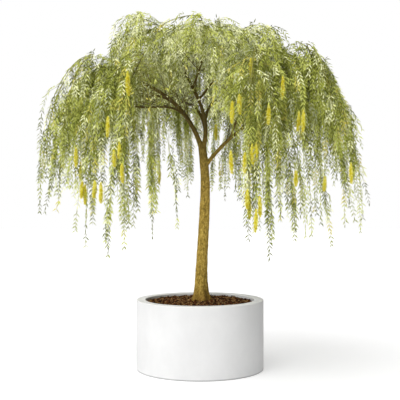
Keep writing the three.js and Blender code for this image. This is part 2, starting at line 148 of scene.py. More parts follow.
# Tiers and masses of foliage. A stem rises from its bough to the crest (reach, height), ribs
# fall from it to the reach of the edge, with a square shoulder (high power) or a sloping one (low
# power), and strands end between the two tip heights. Each keeps between the azimuths of turn.
# Finer shoots come down from the tier's inner reach to a part of the edge. Most hang only to the
# tier's own heights, and a few long ones to the tips. They turn over at the top, which falls from
# its first height inside to its second at the edge, and keep inside an outline with its own power.
UPPER = dict(ribs=4, crest_reach=0.51, stagger=0.2, inner=0.16, hang=(1.98, 2.40),
             reach=(0.0, 0.811), part=1.0, branchlets=4)
LOWER = dict(ribs=3, crest_reach=0.86, stagger=0.1, inner=0.60, hang=(1.68, 2.04),
             reach=(0.819, 1.375), part=0.96, branchlets=12)
MASSES = [
    dict(UPPER, name="top_left", bough="bough_centre", shoulder=2.5, outline=2.8, shoots=24,
         turn=(135, 225), crest=2.770, edge=0.795, tips=(1.850, 2.100), long=2, top=(2.71, 2.66)),
    dict(UPPER, name="top_right", bough="bough_top_right", shoulder=1.7, outline=3.6, shoots=26,
         turn=(-45, 45), crest=2.650, edge=0.780, tips=(1.850, 2.100), long=1, top=(2.75, 2.58)),
    dict(UPPER, name="top_front", bough="bough_top_front", shoulder=2.0, outline=2.5, shoots=16,
         turn=(-135, -45), crest=2.670, edge=0.780, tips=(2.120, 2.300), long=0, top=(2.68, 2.56)),
    dict(UPPER, name="top_back", bough="bough_top_back", shoulder=2.2, outline=3.0, shoots=16,
         turn=(45, 135), crest=2.785, edge=0.780, tips=(1.850, 2.100), long=1, top=(2.75, 2.65)),
    dict(LOWER, name="left_front", bough="bough_left", shoulder=2.0, outline=1.35, shoots=28,
         turn=(-180, -137), crest=2.420, edge=1.268, tips=(1.120, 1.420), long=0, top=(2.44, 2.33)),
    dict(LOWER, name="front_left", bough="bough_left_low", shoulder=2.2, outline=2.0, shoots=26,
         turn=(-137, -97), crest=2.340, edge=1.170, tips=(0.970, 1.330), long=0, top=(2.38, 2.24)),
    dict(LOWER, name="front_right", bough="bough_right_front", shoulder=2.0, outline=1.8, shoots=20,
         turn=(-83, -43), crest=2.390, edge=1.170, tips=(0.990, 1.330), long=0, top=(2.43, 2.29)),
    dict(LOWER, name="right_front", bough="bough_right", shoulder=1.7, outline=1.4, shoots=22,
         turn=(-43, 0), crest=2.500, edge=1.340, tips=(1.010, 1.340), long=0, top=(2.61, 2.42)),
    dict(LOWER, name="right_back", bough="bough_right_back", shoulder=1.6, outline=1.4, shoots=26,
         turn=(0, 45), crest=2.640, edge=1.340, tips=(1.200, 1.450), long=0, top=(2.72, 2.46)),
    dict(LOWER, name="back_right", bough="bough_back_right", shoulder=2.2, outline=2.0, shoots=18,
         turn=(45, 90), crest=2.620, edge=1.240, tips=(1.380, 1.580), long=2, top=(2.64, 2.50)),
    dict(LOWER, name="back_left", bough="bough_back_left", shoulder=2.2, outline=2.0, shoots=18,
         turn=(90, 135), crest=2.600, edge=1.240, tips=(1.380, 1.580), long=2, top=(2.62, 2.48)),
    dict(LOWER, name="left_back", bough="bough_left_back", shoulder=2.1, outline=1.5, shoots=24,
         turn=(135, 180), crest=2.510, edge=1.290, tips=(1.250, 1.480), long=2, top=(2.56, 2.38)),
]
FIRST_SEED = 35
SEED_STEP = 37
LEHMER_MODULUS = 2147483647
LEHMER_MULTIPLIER = 48271
SEED_SPREAD = 1000003

# The twigs that the solids have too
ROOT_ROOM = 0.03
STEM_BEND = 0.5
STEM_POINTS = 12
RIB_MARGIN = 0.28
RIB_SHORTEST = 0.93
STRAND_STARTS = (0.25, 0.62)
STRAND_DRIFT = (0.036, 0.126)
STRAND_SPREAD = (0.048, 0.120)
HANG_POWER = 2.5
ARCH_POINTS = 24

# Long shoots that hang below the others: where each one ends
TASSELS = [
    (-1.250, -0.150, 1.479),
    (-1.159, -0.350, 1.228),
    (-1.040, -0.560, 1.240),
    (-0.889, -0.650, 1.098),
    (-0.744, -0.800, 1.152),
    (-0.621, -0.950, 0.934),
    (-0.515, -0.900, 0.998),
    (-0.465, -0.750, 1.143),
    (-0.318, -1.000, 1.066),
    (-0.153, -0.950, 1.131),
    (-0.108, 0.850, 1.360),
    (0.222, 0.850, 1.325),
    (0.345, 0.900, 1.334),
    (0.310, -0.950, 1.139),
    (0.365, -0.900, 1.096),
    (0.468, -0.950, 0.929),
    (0.580, -0.600, 1.182),
    (0.663, -0.750, 1.028),
    (0.746, -0.700, 1.052),
    (0.943, -0.600, 0.988),
    (1.148, -0.400, 1.158),
    (1.306, -0.150, 1.279),
    (1.175, 0.300, 1.460),
]

# How they are carried on: shoots climb from each stem and the outer part of its bough, arch over
# under the crown's outline and hang, spread evenly over the sector, and finer strands hang
# closely set along every rib and shoot
SECTOR_LAP = 3
GOLDEN = 0.618034
CARRIER_PART = 0.42
CARRIER_POINTS = 30
SHOOT_LEAD = (0.10, 0.40)
SHOOT_LAST = (0.45, 0.75)
SHOOT_CLIMB = 0.3
SHOOT_RAGGED = (-0.02, 0.02)
SHOOT_POWER = (0.85, 1.0)
SHOOT_LEAST_RISE = 0.02
SHOOT_SHORTEST = 0.25
SHOOT_TESTED = 0.9
SHOOT_POINTS = 28
STEM_TURNS = (-120, 120, 0)

# Finer strands: the shares of a shoot's length that they begin and end at, also for a long shoot,
# which thins out to its tip, and how low those of the ribs may hang
FINE_START = 0.02
FINE_LAST = 0.90
TASSEL_LAST = 0.78
RIB_FRINGE = 1.36
OUTLINE_DROP = 0.14
FINE_SPACING = 0.068
FINE_UNEVEN = (0.6, 1.4)
FINE_DRIFTS = np.array([(0.06, 0.26), (0.008, 0.050)])
FINE_SPREADS = np.array([(0.01, 0.13), (0.004, 0.030)])
FINE_RISE = 0.05
FINE_POWERS = (1.9, 2.5)
FINE_RAGGED = (-0.08, 0.26)
FINE_LENGTHS = (0.28, 0.88)
FINE_SHORTEST = 0.08
FINE_POINTS = 10
STRAND_TESTED = 0.8
SWAY = 0.010
SWAY_TURNS = (3, 8)

# Branchlets: thin bare twigs off each bough, and finer ones off each of those
BRANCHLET_LENGTHS = (0.16, 0.40)
BRANCHLET_STARTS = (0.18, 0.98)
BRANCHLET_ANGLES = (28, 55)
BRANCHLET_RISE = 0.25
BRANCHLET_BEND = 0.03
BRANCHLET_ROOM = 0.10
BRANCHLET_POINTS = 8
FINER_COUNT = 3
FINER_LENGTHS = (0.08, 0.22)

# Each kind of twig: its radii, the step between its rings, its tone, and the share of its length
# that is bare of leaves
TWIG_SIDES = 3
TWIG_KINDS = {
    "stem": ((0.006, 0.0025), 0.05, 0, 0.5),
    "branchlet": ((0.0046, 0.0016), 0.05, 0, 1),
    "finer": ((0.0022, 0.0009), 0.05, 0, 0.6),
    "rib": ((0.0042, 0.0010), 0.05, 1, 0.05),
    "shoot": ((0.0023, 0.0008), 0.05, 1, 0.08),
    "strand": ((0.0014, 0.0007), 0.10, 2, 0.02),
}

# Where the front of the crown is thin, so that the fork, the trunk and the top catkin show: sides,
# heights, how near the front a place has to be, and the shares of leaves and of twigs kept there.
# A shoot or a strand is judged by one place, at its tested share.
WINDOWS = [
    ((-0.46, 0.05), (1.62, 2.34), -0.08, 0.14, 0.3),
    ((0.05, 0.27), (1.62, 1.90), -0.08, 0.14, 0.3),
    ((-0.06, 0.13), (0.00, 1.62), -0.08, 0.0, 0.0),
    ((0.30, 0.385), (2.09, 2.32), -0.86, 0.0, 0.1),
]

# Leaves: length, width, spacing of the pairs, the angle from the twig, and pairs of one tint.
# The young leaves on the last part of a twig are shorter.
LEAF_LENGTHS = (0.036, 0.049)
LEAF_WIDTHS = (0.0074, 0.0096)
LEAF_SPACING = 0.028
PAIR_SHIFT = (0.3, 1.0)
PAIR_UNEVEN = 0.2
YOUNG_PART = 0.2
YOUNG_SHORTER = 0.15
LEAF_ANGLES = (26, 52)
LEAF_SAGS = (0.9, 0.12)
LEAF_ROLL = 0.6
LEAF_TWIST = 0.65
SPRAY_TURN = 0.9
SPRAY_PAIRS = 4
# Within this reach from the axis, sprays take the paler inside tints: painted light on the crown's
# shaded inside.
PAINTED_LIGHT_REACH = 0.62
LEAF_WIDEST = 0.4
LEAF_FOLD = 0.16
LEAF_BOW = 0.05

# Catkins: their shape, the twigs that carry them, then the top of each bunch and how many hang
CATKIN_LENGTHS = (0.105, 0.160)
CATKIN_RADIUS = 0.022
CATKIN_FLORETS = 190
CATKIN_TURN = 137.5
CATKIN_ENDS = (0.04, 0.96)
CATKIN_SWELL = 0.3
CATKIN_BEND = 0.008
FLORET_SAGS = (0.54, 1.08)
FLORET_SIZES = (0.8, 1.35)
FLORET_WIDTH = 0.42
CORE_RADIUS = CATKIN_RADIUS * 0.35
CORE_POINTS = 7
CATKIN_DRIFT = 0.12
CARRIER_STARTS = (0.03, 0.92)
CARRIER_DROP = 0.05
BUNCH_SPREAD = 0.026
BUNCH_DROP = 0.05
CATKINS = [
    (0.349, -0.845, 2.305, 1),
    (0.564, -0.901, 2.169, 1),
    (-0.508, -0.939, 2.157, 2),
    (0.236, -1.088, 1.983, 3),
    (0.459, -1.018, 1.965, 1),
    (0.704, -0.873, 1.941, 2),
    (0.131, 0.300, 1.950, 1),
    (-0.622, -0.942, 1.893, 1),
    (-0.555, -1.011, 1.685, 2),
    (-0.872, -0.720, 1.697, 1),
    (-0.519, -1.038, 1.571, 1),
    (0.201, -1.138, 1.651, 1),
    (0.361, -1.095, 1.680, 2),
    (0.294, -1.118, 1.639, 1),
    (0.306, -1.127, 1.358, 2),
    (0.387, -1.103, 1.305, 2),
    (0.645, -0.967, 1.527, 1),
    (1.040, -0.829, 1.587, 1),
    (0.877, -0.720, 1.494, 1),
    (-0.797, -0.851, 1.435, 2),
    (-0.713, -0.922, 1.461, 1),
    (-0.668, -0.956, 1.446, 1),
    (-0.174, 0.800, 1.910, 1),
    (0.700, 0.600, 1.900, 2),
    (0.500, 0.900, 1.700, 2),
    (-0.600, 0.700, 2.000, 2),
    (-1.000, 0.400, 1.650, 1),
    (-0.350, 1.000, 1.650, 2),
]

# Base colours, and the shares of the sprays that each leaf tint takes outside and inside the crown.
# The inside shares lean to the paler tints: painted light on the crown's shaded inside.
POT_WHITE = "dfdfdf"
POT_CLOUD = "d4d4d4"
# Painted light: the top of the pot's rim is painted whiter than the rest.
RIM_PAINTED_LIGHT = "fafafa"
# Painted shadow: a dark band round the pot's foot, where it meets the floor.
POT_FOOT_SHADOW = "6f6f6f"
POT_FOOT_SHADOW_HEIGHT = 0.012
BARK_TONES = ("6c5a26", "a2873b", "cfb25c")
# Painted shade: the bark darkens from the fork up into the boughs, where the crown shades it.
BARK_SHADE = "3d3312"
BARK_SHADE_HEIGHTS = (1.3, 1.9)
# Redder bark at the foot, darkened there too with painted shade near the soil.
BARK_FOOT_RED_AND_SHADE = "6e4a20"
BARK_FOOT_RED_AND_SHADE_HEIGHTS = (0.66, 0.53)
SOIL_BROWN = "3a2617"
SOIL_DARK = "22150c"
CHIP_TINTS = {
    "chip_dark": "1e1007",
    "chip_brown": "664020",
    "chip_red": "844b25",
    "chip_pale": "cda26a",
}
TWIG_TONES = ("4c421b", "8a8840", "8f9044")
LEAF_TINTS = {
    "leaf_deep": ("6a7220", 0.27, 0.03),
    "leaf_olive": ("a1a844", 0.28, 0.09),
    "leaf_fresh": ("ccd26c", 0.23, 0.24),
    "leaf_pale": ("f2f4c0", 0.11, 0.52),
    "leaf_grey": ("bcc298", 0.06, 0.12),
    "leaf_straw": ("d6cc60", 0.05, 0.00),
}
CATKIN_TINTS = {"catkin_gold": "eee650", "catkin_lemon": "f6f28e", "catkin_amber": "dccf3e"}

# Studio: floor, sky, lights and camera. The sky's strength falls from left to right and rises
# overhead. The camera stands level, square to the front.
FLOOR_SIZE = 60.0
FLOOR_WHITE = "d0d0d0"
FLOOR_GLOW = 0.46
SKY_SPAN = (-0.8, 0.9)
SKY_SIDES = (0.47, 0.05)
SKY_RISE = (1.0, 2.3)
KEY_LIGHT = (2.15, 55, (-0.42, -0.42, 1.0))
FILL_LIGHT = (0.95, 30, (-0.4, -1.0, 0.15))
CAMERA_PLACE = (0.0, -6.55, 1.325)
FOCAL_PIXELS = 830
PHOTO_PIXELS = 400
SENSOR = 36.0


def lerp(start, end, share):
    return start + (end - start) * share


def unit(vectors):
    return vectors / np.linalg.norm(vectors, axis=-1, keepdims=True)


def linear(colour):
    """A colour written as six hexadecimal digits, as the shader takes it."""
    parts = [int(colour[i:i + 2], 16) / 255 for i in (0, 2, 4)]
    return [part / 12.92 if part <= 0.04045 else ((part + 0.055) / 1.055) ** 2.4
            for part in parts] + [1.0]


def place(azimuth, reach, height):
    """Where a reach and a height along an azimuth lie."""
    angle = math.radians(azimuth)
    return np.array([reach * math.cos(angle), reach * math.sin(angle), height])


def heading(azimuth, lean):
    """A level unit direction turned up or down by its lean from upright."""
    angle = math.radians(lean)
    return place(azimuth, math.sin(angle), math.cos(angle))


def level_ways(turn):
    """Level unit directions at angles in radians."""
    return np.stack([np.cos(turn), np.sin(turn), np.zeros_like(turn)], -1)


def lehmer(seed):
    """The plain Lehmer generator, from 0 to 1, as the solids use it."""
    state = seed * SEED_SPREAD % LEHMER_MODULUS

    def draw():
        nonlocal state
        state = state * LEHMER_MULTIPLIER % LEHMER_MODULUS
        return state / LEHMER_MODULUS

    return draw


class Line:
    """A curve kept as closely spaced points, and read by share of its length. A twig also has the
    level direction that it spreads in."""

    def __init__(self, points, level=None):
        self.points = np.asarray(points, float)
        steps = np.linalg.norm(np.diff(self.points, axis=0), axis=1)
        self.run = np.concatenate([[0.0], np.cumsum(steps)])
        self.length = self.run[-1]
        self.level = level

    def at(self, share):
        wanted = np.clip(share, 0, 1) * self.length
        return np.stack([np.interp(wanted, self.run, self.points[:, i]) for i in range(3)], -1)

    def ahead(self, share):
        step = 0.01
        return unit(self.at(np.minimum(share + step, 1)) - self.at(np.maximum(share - step, 0)))

    def aside(self):
        """The level direction square to the twig's own."""
        return np.array([-self.level[1], self.level[0], 0])

    def share_at(self, height):
        """How far along a falling curve comes down to a height."""
        return np.interp(-height, -self.points[:, 2], self.run / self.length)


class Arch(Line):
    """A twig along a quarter of an ellipse, squarer with a higher power, that turns over and hangs
    to its end. If it turns over above its start, it climbs to that top first."""

    def __init__(self, start, end, power=HANG_POWER, top=None, count=ARCH_POINTS):
        self.start = start
        self.end = end
        self.power = power
        self.top = start[2] if top is None else top
        level = (end - start) * (1, 1, 0)
        level = level / max(np.linalg.norm(level), 1e-9)
        super().__init__(self.at_angle(np.linspace(0, math.pi / 2, count)), level)

    def at_angle(self, angle):
        across = np.sin(angle) ** (2 / self.power)
        up = np.clip(np.cos(angle), 0, 1) ** (2 / self.power)
        points = self.start + np.multiply.outer(across, self.end - self.start)
        climb = (self.top - self.start[2]) * np.clip(1 - across / SHOOT_CLIMB, 0, 1) ** 2
        points[..., 2] = lerp(self.end[2], self.top, up) - climb
        return points

    def at_run(self, run):
        """The point over a share of the level run from start to end."""
        return self.at_angle(np.arcsin(run ** (self.power / 2)))


def trunk_points():
    """A centripetal Catmull-Rom curve through the trunk's centres, with even steps between."""
    corners = np.array(TRUNK_LINE, float)
    ends = (2 * corners[0] - corners[1], 2 * corners[-1] - corners[-2])
    corners = np.vstack([ends[0], corners, ends[1]])
    share = np.linspace(0, 1, TRUNK_LINE_STEPS, endpoint=False)[:, None]
    points = []
    for before, start, end, after in zip(corners, corners[1:], corners[2:], corners[3:]):
        spans = ((before, start), (start, end), (end, after))
        first, middle, last = (math.sqrt(np.linalg.norm(b - a)) for a, b in spans)
        leave = (start - before) / first - (end - before) / (first + middle) + (end - start) / middle
        arrive = (end - start) / middle - (after - start) / (middle + last) + (after - end) / last
        leave, arrive = leave * middle, arrive * middle
        cubic = 2 * start - 2 * end + leave + arrive
        square = -3 * start + 3 * end - 2 * leave - arrive
        points.append(cubic * share ** 3 + square * share ** 2 + leave * share + start)
    return np.vstack([*points, corners[-2:-1]])


def bezier(handles, share):
    """A point of a Bezier curve by its plain parameter."""
    points = [np.multiply.outer(np.ones_like(share), np.array(handle, float)) for handle in handles]
    weight = np.expand_dims(share, -1)
    while len(points) > 1:
        points = [lerp(a, b, weight) for a, b in zip(points, points[1:])]
    return points[0]


def object_from(name, mesh, materials):
    piece = bpy.data.objects.new(name, mesh)
    bpy.context.scene.collection.objects.link(piece)
    for material in materials:
        mesh.materials.append(material)
    return piece


def object_from_bmesh(name, bm, materials):
    mesh = bpy.data.meshes.new(name)
    bm.to_mesh(mesh)
    bm.free()
    return object_from(name, mesh, materials)


def finish_piece(piece, slot, *nodes):
    """A piece that rides on the tree's one body and stands for its solids."""
    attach(piece, "root")
    if nodes:
        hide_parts(*nodes)


class Pile:
    """Corners, triangles and material numbers of many small shapes, gathered for one mesh."""

    def __init__(self):
        self.corners = []
        self.triangles = []
        self.tints = []
        self.count = 0

    def add(self, corners, triangles, tint):
        self.corners.append(corners)
        self.triangles.append(triangles + self.count)
        self.tints.append(np.broadcast_to(tint, len(triangles)))
        self.count += len(corners)

    def mesh(self, name, smooth):
        corners = np.concatenate(self.corners)
        triangles = np.concatenate(self.triangles)
        tints = np.concatenate(self.tints)
        mesh = bpy.data.meshes.new(name)
        mesh.vertices.add(len(corners))
        mesh.vertices.foreach_set("co", corners.astype(np.float32).ravel())
        mesh.loops.add(triangles.size)
        mesh.loops.foreach_set("vertex_index", triangles.astype(np.int32).ravel())
        mesh.polygons.add(len(triangles))
        mesh.polygons.foreach_set("loop_start", np.arange(0, triangles.size, 3, dtype=np.int32))
        mesh.polygons.foreach_set("material_index", tints.astype(np.int32))
        mesh.polygons.foreach_set("use_smooth", np.full(len(triangles), smooth))
        mesh.update()
        mesh.validate()
        return mesh


# Limbs

def bough_line(parent, tip, at, leave, arrive):
    start = parent.at(at)
    end = place(*tip)
    out = math.degrees(math.atan2(end[1] - start[1], end[0] - start[0]))
    reach = BOUGH_BEND * np.linalg.norm(end - start)
    first = start + heading(out, leave) * reach
    second = end - heading(out, arrive) * reach
    return Line(bezier((start, first, second, end), np.linspace(0, 1, BOUGH_POINTS)))


def limb_lines():
    """The centre line of the trunk and of each bough, by name."""
    lines = {"trunk": Line(trunk_points())}
    for name, (parent, at, _, tip, leave, arrive) in BOUGHS.items():
        lines[name] = bough_line(lines[parent], tip, at, leave, arrive)
    return lines


def trunk_radius(share, rise, turn):
    shaft = lerp(TRUNK_FOOT_RADIUS, TRUNK_TOP_RADIUS, share ** TRUNK_TAPER)
    lobe = lerp(math.cos(ROOT_LOBES * turn), 1, ROOT_EVENNESS)
    return shaft + ROOT_SPREAD * lobe * math.exp(-rise / ROOT_FADE)


def cylinder(sides, steps):
    """A closed unit cylinder with level rings, from 0 to 1 high."""
    bm = bmesh.new()
    bmesh.ops.create_cone(bm, cap_ends=True, segments=sides, radius1=1, radius2=1, depth=1)
    bmesh.ops.translate(bm, verts=bm.verts, vec=(0, 0, 0.5))
    upright = [edge for edge in bm.edges if abs(edge.verts[0].co.z - edge.verts[1].co.z) > 0.5]
    bmesh.ops.subdivide_edges(bm, edges=upright, cuts=steps - 1, use_grid_fill=True)
    return bm


def trunk_shell(points):
    """Level rings stacked along the trunk's points, with lobes at the foot."""
    bm = cylinder(TRUNK_SIDES, TRUNK_STEPS)
    order = np.arange(len(points))
    for vert in bm.verts:
        share = min(max(vert.co.z, 0), 1)
        centre = [np.interp(share * order[-1], order, points[:, axis]) for axis in range(3)]
        turn = math.atan2(vert.co.y, vert.co.x)
        radius = trunk_radius(share, centre[2] - TRUNK_LINE[0][2], turn)
        vert.co = Vector(centre) + Vector((math.cos(turn) * radius, math.sin(turn) * radius, 0))
    return bm


def bough_shell(line, radii):
    """A tapering tube along a line, a little thicker where it leaves its parent."""
    bm = cylinder(BOUGH_SIDES, BOUGH_STEPS)
    for vert in bm.verts:
        share = min(max(vert.co.z, 0), 1)
        collar = COLLAR_SHARE * math.exp(-share * line.length / COLLAR_FADE)
        radius = lerp(*radii, share) * (1 + collar)
        ahead = Vector(line.ahead(share))
        side = ahead.cross((0.3, 1, 0)).normalized()
        out = side * vert.co.x + ahead.cross(side) * vert.co.y
        vert.co = Vector(line.at(share)) + out * radius
    return bm


def joined_shells(shells):
    joined = bmesh.new()
    for shell in shells:
        part = bpy.data.meshes.new("part")
        shell.to_mesh(part)
        shell.free()
        joined.from_mesh(part)
        bpy.data.meshes.remove(part)
    bmesh.ops.recalc_face_normals(joined, faces=joined.faces)
    return joined


def one_skin(shells):
    """Closed shells that run into each other, melted into one skin of small even faces."""
    shape = object_from_bmesh("rough", joined_shells(shells), [])
    remesh = shape.modifiers.new("skin", "REMESH")
    remesh.mode = "VOXEL"
    remesh.voxel_size = BARK_VOXEL
    depsgraph = bpy.context.evaluated_depsgraph_get()
    skin = bpy.data.meshes.new_from_object(shape.evaluated_get(depsgraph))
    bm = bmesh.new()
    bm.from_mesh(skin)
    rough = shape.data
    bpy.data.objects.remove(shape)
    for spare in (rough, skin):
        bpy.data.meshes.remove(spare)
    return bm


def bark_relief(point):
    """How far the bark stands out at a point: long ridges, finer towards the twigs."""
    grain = noise.fractal([a * b for a, b in zip(point, RELIEF_GRAIN)], *RELIEF_NOISE)
    low, high = RELIEF_HEIGHTS
    depth = lerp(RELIEF_TRUNK, RELIEF_BOUGH, min(max((point.z - low) / (high - low), 0), 1))
    return grain * depth


def make_bark(lines, material):
    """Trunk and boughs as one skin, blended at the forks, with the bark's relief."""
    boughs = [bough_shell(lines[name], bough[2]) for name, bough in BOUGHS.items()]
    bm = one_skin([trunk_shell(lines["trunk"].points), *boughs])
    for _ in range(BARK_SMOOTHINGS):
        bmesh.ops.smooth_vert(bm, verts=bm.verts, factor=0.5,
                              use_axis_x=True, use_axis_y=True, use_axis_z=True)
    bm.normal_update()
    moves = [vert.normal * bark_relief(vert.co) for vert in bm.verts]
    for vert, move in zip(bm.verts, moves):
        vert.co += move
    for face in bm.faces:
        face.smooth = True
    piece = object_from_bmesh("bark", bm, [material])
    finish_piece(piece, "bark", "trunk", *BOUGHS)


def limb_tree(lines):
    """Points along every limb with its radius there, to keep twigs and leaves off the wood."""
    centres, radii = [], []
    for name, line in lines.items():
        ends = (TRUNK_FOOT_RADIUS, TRUNK_TOP_RADIUS) if name == "trunk" else BOUGHS[name][2]
        share = np.linspace(0, 1, int(line.length / LIMB_SAMPLE_STEP))
        centres.append(line.at(share))
        radii.append(lerp(*ends, share))
    centres = np.concatenate(centres)
    tree = kdtree.KDTree(len(centres))
    for i, centre in enumerate(centres):
        tree.insert(centre, i)
    tree.balance()
    return tree, np.concatenate(radii)


def clear_of_limbs(limbs, points):
    tree, radii = limbs
    for point in points:
        _, index, distance = tree.find(point)
        if distance < radii[index] + LIMB_CLEARANCE:
            return False
    return True


# Where twigs may grow

def holds(mass, point):
    """Whether a place lies in a mass's tier and between its azimuths."""
    reach = math.hypot(point[0], point[1])
    low, high = mass["reach"]
    azimuth = math.degrees(math.atan2(point[1], point[0]))
    start, end = mass["turn"]
    return low < reach < high and (azimuth - start) % 360 <= end - start


def edge_reach(mass, height):
    """How far a mass reaches at a height, inside its outline."""
    tip = mass["tips"][0]
    down = min(max((height - tip) / (mass["crest"] - tip), 0), 1)
    across = (1 - down ** mass["outline"]) ** (1 / mass["outline"])
    return lerp(mass["crest_reach"], mass["edge"], across)


def is_open(point, random, bare):
    """Whether a leaf, or a bare twig, is kept here: only a share of them is in the windows."""
    x, y, z = point
    for (left, right), (low, high), depth, leaf_share, twig_share in WINDOWS:
        if y < depth and left < x < right and low < z < high:
            return random.random() < (twig_share if bare else leaf_share)
    return True


# Twigs

def grow_stem(mass, bough):
    """The handles of a stem's curve, from inside its bough's tip to the crest."""
    forward = bough.ahead(1.0)
    start = bough.at(1.0)
    crest = place(sum(mass["turn"]) / 2, mass["crest_reach"], mass["crest"])
    bend = start + forward * STEM_BEND * np.linalg.norm(crest - start)
    return start - forward * ROOT_ROOM, start, bend, crest


def stem_points(stem):
    return bezier(stem[1:], np.linspace(0, 1, STEM_POINTS))


def grow_ribs(mass, stem, draw):
    """The ribs of the solid: they leave the stem one after another and fan out to the edge."""
    ribs = []
    for i in range(mass["ribs"]):
        turn = (i + RIB_MARGIN + (1 - 2 * RIB_MARGIN) * draw()) / mass["ribs"]
        reach = mass["edge"] * (RIB_SHORTEST + (1 - RIB_SHORTEST) * draw())
        tip = lerp(*mass["tips"], draw())
        start = bezier(stem[1:], 1 - mass["stagger"] * i)
        ribs.append(Arch(start, place(lerp(*mass["turn"], turn), reach, tip), mass["shoulder"]))
    return ribs


def grow_strands(mass, rib, draw):
    """The strands of the solid, two from each rib, only as low as there is no sky between them."""
    strands = []
    for along, hand in zip(STRAND_STARTS, (-1, 1)):
        start = rib.at_run(along)
        end = start + rib.level * lerp(*STRAND_DRIFT, draw())
        end = end + rib.aside() * hand * lerp(*STRAND_SPREAD, draw())
        end[2] = max(lerp(*mass["tips"], draw()), mass["hang"][0])
        strands.append(Arch(start, end))
    return strands


def shoot_ends(mass, random):
    """Where shoots end: the long ones that are measured, and others evenly over the sector."""
    first_turn, last_turn = mass["turn"][0] - SECTOR_LAP, mass["turn"][1] + SECTOR_LAP
    ends = [np.array(tip) for tip in TASSELS if holds(mass, tip)]
    for i in range(mass["shoots"]):
        turn = lerp(first_turn, last_turn, (i + 1) * GOLDEN % 1)
        order = (i + random.random()) / mass["shoots"]
        reach = lerp(mass["inner"], mass["edge"] * mass["part"], order)
        long_before, long_after = (n * mass["long"] // mass["shoots"] for n in (i, i + 1))
        heights = mass["tips"] if long_after > long_before else mass["hang"]
        ends.append(place(turn, reach, random.uniform(*heights)))
    return ends


def grow_shoots(mass, bough, stem, random):
    """Shoots off the outer part of a mass's bough and off its stem."""
    outer_part = bough.at(np.linspace(CARRIER_PART, 1, CARRIER_POINTS))
    carrier = Line(np.vstack([outer_part, stem_points(stem)[1:]]))
    inner_reach, last_reach = (np.linalg.norm(carrier.at(share)[:2]) for share in (0, 1))
    shoots = []
    for end in shoot_ends(mass, random):
        reach = np.linalg.norm(end[:2])
        share = (reach - random.uniform(*SHOOT_LEAD) - inner_reach) / (last_reach - inner_reach)
        start = carrier.at(share if share < 1 else random.uniform(*SHOOT_LAST))
        span = (reach - mass["inner"]) / (mass["edge"] - mass["inner"])
        top = lerp(*mass["top"], span) + random.uniform(*SHOOT_RAGGED)
        top = max(top, start[2] + SHOOT_LEAST_RISE)
        end[2] = min(end[2], top - SHOOT_SHORTEST)
        power = mass["outline"] * random.uniform(*SHOOT_POWER)
        shoot = Arch(start, end, power, top, SHOOT_POINTS)
        if is_open(shoot.at(SHOOT_TESTED), random, True):
            shoots.append(shoot)
    return shoots


def fine_strand(mass, twig, share, tip, random):
    """One strand off a twig: it arches off where the twig lies level, and hugs it below."""
    start = twig.at(share)
    hanging = max(-twig.ahead(share)[2], 0)
    usual = mass["hang"][0] + random.uniform(*FINE_RAGGED)
    low = lerp(max(tip, usual), tip, hanging ** 2)
    end = start + twig.level * random.uniform(*lerp(*FINE_DRIFTS, hanging))
    hand = random.choice((-1, 1))
    end = end + twig.aside() * hand * random.uniform(*lerp(*FINE_SPREADS, hanging))
    room = edge_reach(mass, start[2] - OUTLINE_DROP)
    end[:2] *= min(1, max(room, np.linalg.norm(start[:2])) / np.linalg.norm(end[:2]))
    end[2] = min(lerp(start[2], low, random.uniform(*FINE_LENGTHS)), start[2] - FINE_SHORTEST)
    top = start[2] + (1 - hanging) * random.uniform(0, FINE_RISE)
    arch = Arch(start, end, lerp(*FINE_POWERS, hanging), top, FINE_POINTS)
    order = np.linspace(0, 1, FINE_POINTS)
    sway = np.sin(order * random.uniform(*SWAY_TURNS)) * order * SWAY * random.uniform(-1, 1)
    return Line(arch.points + np.outer(sway, twig.aside()), twig.level)


def grow_fine_strands(mass, twig, last, lowest, random):
    """Strands set closely along a twig to a share of its length, down to its tip or a height."""
    strands = []
    tip = max(twig.points[-1][2], lowest)
    along = FINE_START * twig.length
    while along < last * twig.length:
        strand = fine_strand(mass, twig, along / twig.length, tip, random)
        if is_open(strand.at(STRAND_TESTED), random, True):
            strands.append(strand)
        along += FINE_SPACING * random.uniform(*FINE_UNEVEN)
    return strands


def grow_branchlets(line, count, lengths, ceiling, random):
    """Thin twigs to either side of a bough, spreading and rising, that end below a ceiling."""
    branchlets = []
    for i in range(count):
        share = lerp(*BRANCHLET_STARTS, (i + random.random()) / count)
        start = line.at(share)
        ahead = line.ahead(share)
        side = unit(np.cross(ahead, (0.0, 0.0, 1.0))) * (1 if i % 2 else -1)
        angle = math.radians(random.uniform(*BRANCHLET_ANGLES))
        out = ahead * math.cos(angle) + side * math.sin(angle) + np.array([0, 0, BRANCHLET_RISE])
        end = start + unit(out) * random.uniform(*lengths)
        bend = lerp(start, end, 0.5) + np.array([0, 0, BRANCHLET_BEND * random.uniform(-1, 1)])
        points = bezier((start, bend, end), np.linspace(0, 1, BRANCHLET_POINTS))
        if points[-1][2] < ceiling:
            branchlets.append(Line(points, unit(out * (1, 1, 0) + (1e-9, 0, 0))))
    return branchlets


def catkin_twigs(ribs, top, count, random):
    """The twigs that carry one bunch of catkins, from the nearest rib down to it."""
    spot = np.array(top)
    best = None
    for rib in ribs:
        level = (rib.end - rib.start)[:2]
        along = np.dot((spot - rib.start)[:2], level) / np.dot(level, level)
        start = rib.at_run(min(max(along - CATKIN_DRIFT, CARRIER_STARTS[0]), CARRIER_STARTS[1]))
        aside = np.linalg.norm((start - spot)[:2])
        if start[2] > spot[2] + CARRIER_DROP and (best is None or aside < best[0]):
            best = (aside, start)
    if best is None:
        return []
    spread = np.array([BUNCH_SPREAD, BUNCH_SPREAD, BUNCH_DROP]) * (count > 1)
    return [Arch(best[1], spot + random.uniform(-1, 1, 3) * spread) for _ in range(count)]


